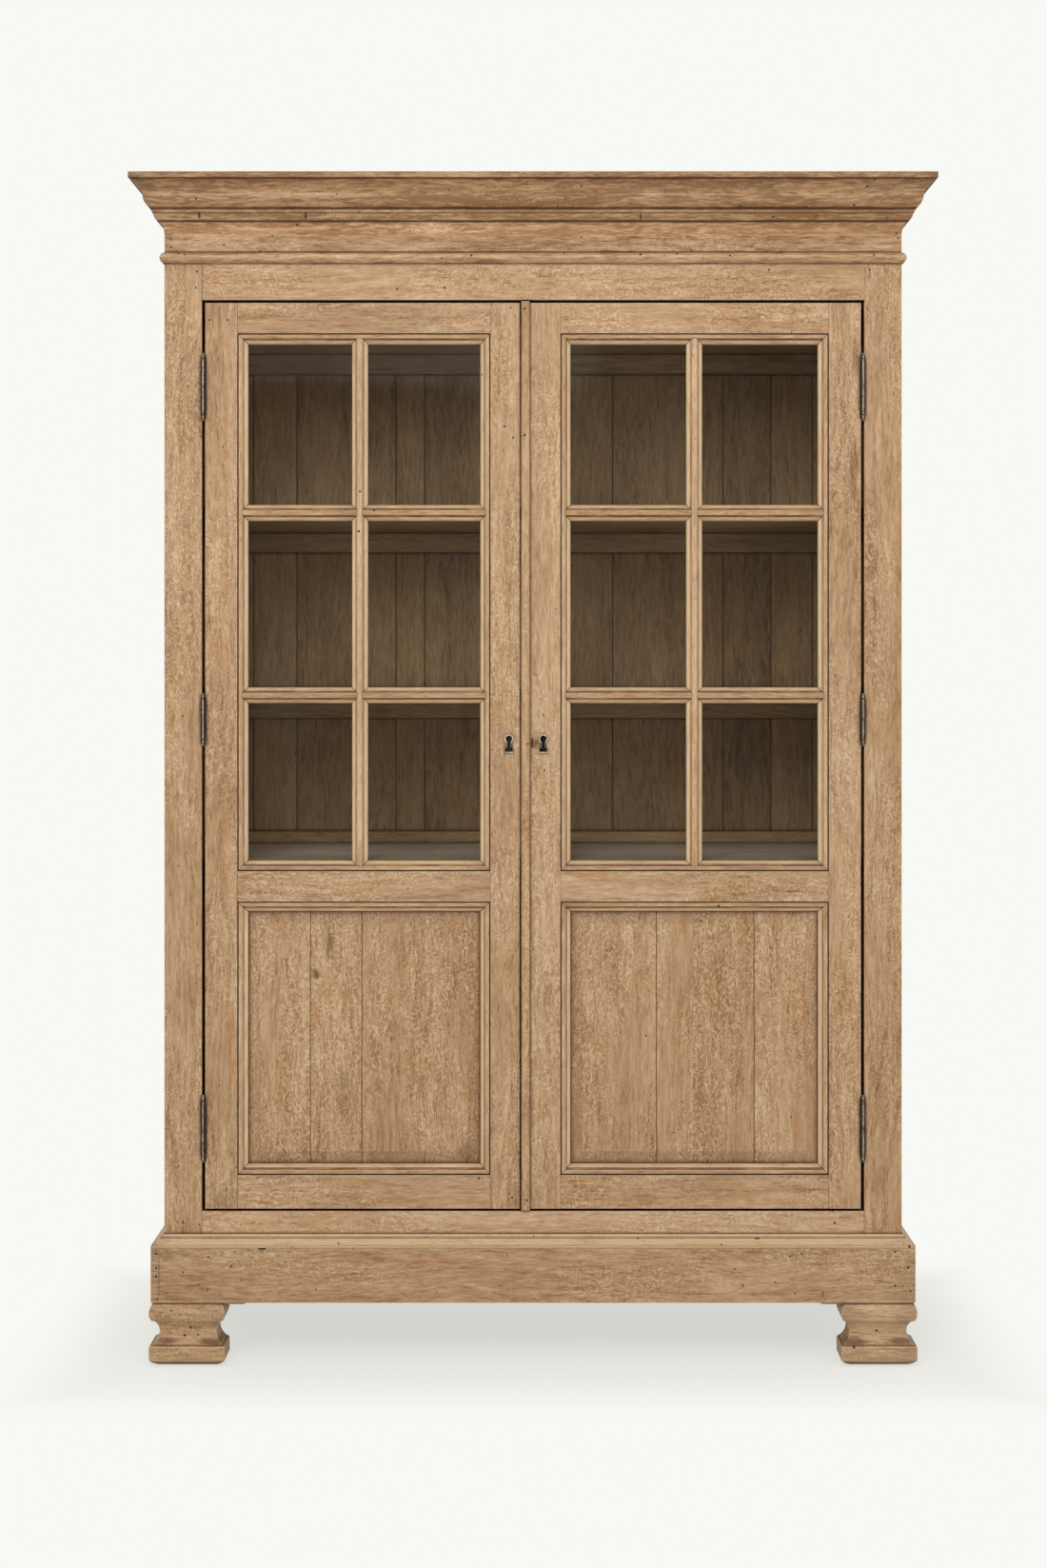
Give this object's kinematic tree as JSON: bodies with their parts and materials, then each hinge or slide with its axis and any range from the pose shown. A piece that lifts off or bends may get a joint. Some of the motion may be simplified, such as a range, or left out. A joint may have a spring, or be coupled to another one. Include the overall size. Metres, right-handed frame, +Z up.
{
  "type": "display cabinet",
  "caption": "Tall free-standing oak display cabinet with glazed doors over fielded panels, shelves, a crown cornice, a splayed plinth and moulded block feet.",
  "frame": {"origin": "on the floor, under the middle of the cabinet's outer box", "axes": "+Z up, the doors face -Y, +X to the right of a person who faces the doors"},
  "size_m": [1.486, 0.487, 2.203],
  "materials": {
    "oak": "dry waxed, worn at the arrises",
    "oak_inside": "unpolished, darkened",
    "steel": "dull, tarnished",
    "glass": "clear window glass",
    "putty": "hard linseed putty"
  },
  "bodies": {
    "carcass": {"back_boards": "oak_inside", "bottom_board": "oak_inside", "ceiling_board": "oak_inside", "cornice_front": "oak", "cornice_sides": "oak", "dust_board": "oak_inside", "face_bottom_rail": "oak", "face_top_rail": "oak", "foot_front_left": "oak", "foot_front_right": "oak", "foot_glue_blocks": "oak_inside", "foot_rear_left": "oak", "foot_rear_right": "oak", "frieze_bead": "oak", "frieze_boards": "oak", "front_post_left": "oak", "front_post_right": "oak", "hinge_pins": "steel", "hinge_post_leaves": "steel", "plinth_back": "oak_inside", "plinth_front": "oak", "plinth_moulding": "oak", "plinth_sides": "oak", "rear_post_left": "oak", "rear_post_right": "oak", "rear_rails": "oak_inside", "shelf_bearers": "oak_inside", "shelf_lower": "oak_inside", "shelf_middle": "oak_inside", "shelf_upper": "oak_inside", "side_panels_left": "oak", "side_panels_right": "oak", "side_rails_left": "oak", "side_rails_right": "oak"},
    "left_door": {"left_hinge_stile": "oak", "left_meeting_stile": "oak", "left_door_rails": "oak", "left_glazing_bars": "oak", "left_door_mouldings": "oak", "left_glass_panes": "glass", "left_glass_putty": "putty", "left_door_panel": "oak", "left_hinge_leaves": "steel", "left_escutcheon": "steel", "flush_bolt_plates": "steel"},
    "right_door": {"right_hinge_stile": "oak", "right_meeting_stile": "oak", "right_door_rails": "oak", "right_glazing_bars": "oak", "right_door_mouldings": "oak", "right_glass_panes": "glass", "right_glass_putty": "putty", "right_door_panel": "oak", "right_hinge_leaves": "steel", "right_escutcheon": "steel", "closing_bead": "oak", "lock_case": "steel"},
    "upper_flush_bolt": {"upper_flush_bolt": "steel"},
    "lower_flush_bolt": {"lower_flush_bolt": "steel"},
    "lock_bolt": {"lock_bolt": "steel"}
  },
  "joints": [
    {"name": "left_door_swing", "type": "hinge", "parent": "carcass", "child": "left_door", "pos_m": [-0.613, -0.1905, 1.13], "axis": [0, 0, -1], "range_deg": [0, 170]},
    {"name": "right_door_swing", "type": "hinge", "parent": "carcass", "child": "right_door", "pos_m": [0.613, -0.1905, 1.13], "axis": [0, 0, 1], "range_deg": [0, 170]},
    {"name": "upper_bolt_slide", "type": "slide", "parent": "left_door", "child": "upper_flush_bolt", "axis": [0, 0, 1], "range_m": [0, 0.018]},
    {"name": "lower_bolt_slide", "type": "slide", "parent": "left_door", "child": "lower_flush_bolt", "axis": [0, 0, -1], "range_m": [0, 0.018]},
    {"name": "lock_bolt_slide", "type": "slide", "parent": "right_door", "child": "lock_bolt", "axis": [-1, 0, 0], "range_m": [0, 0.012]}
  ]
}
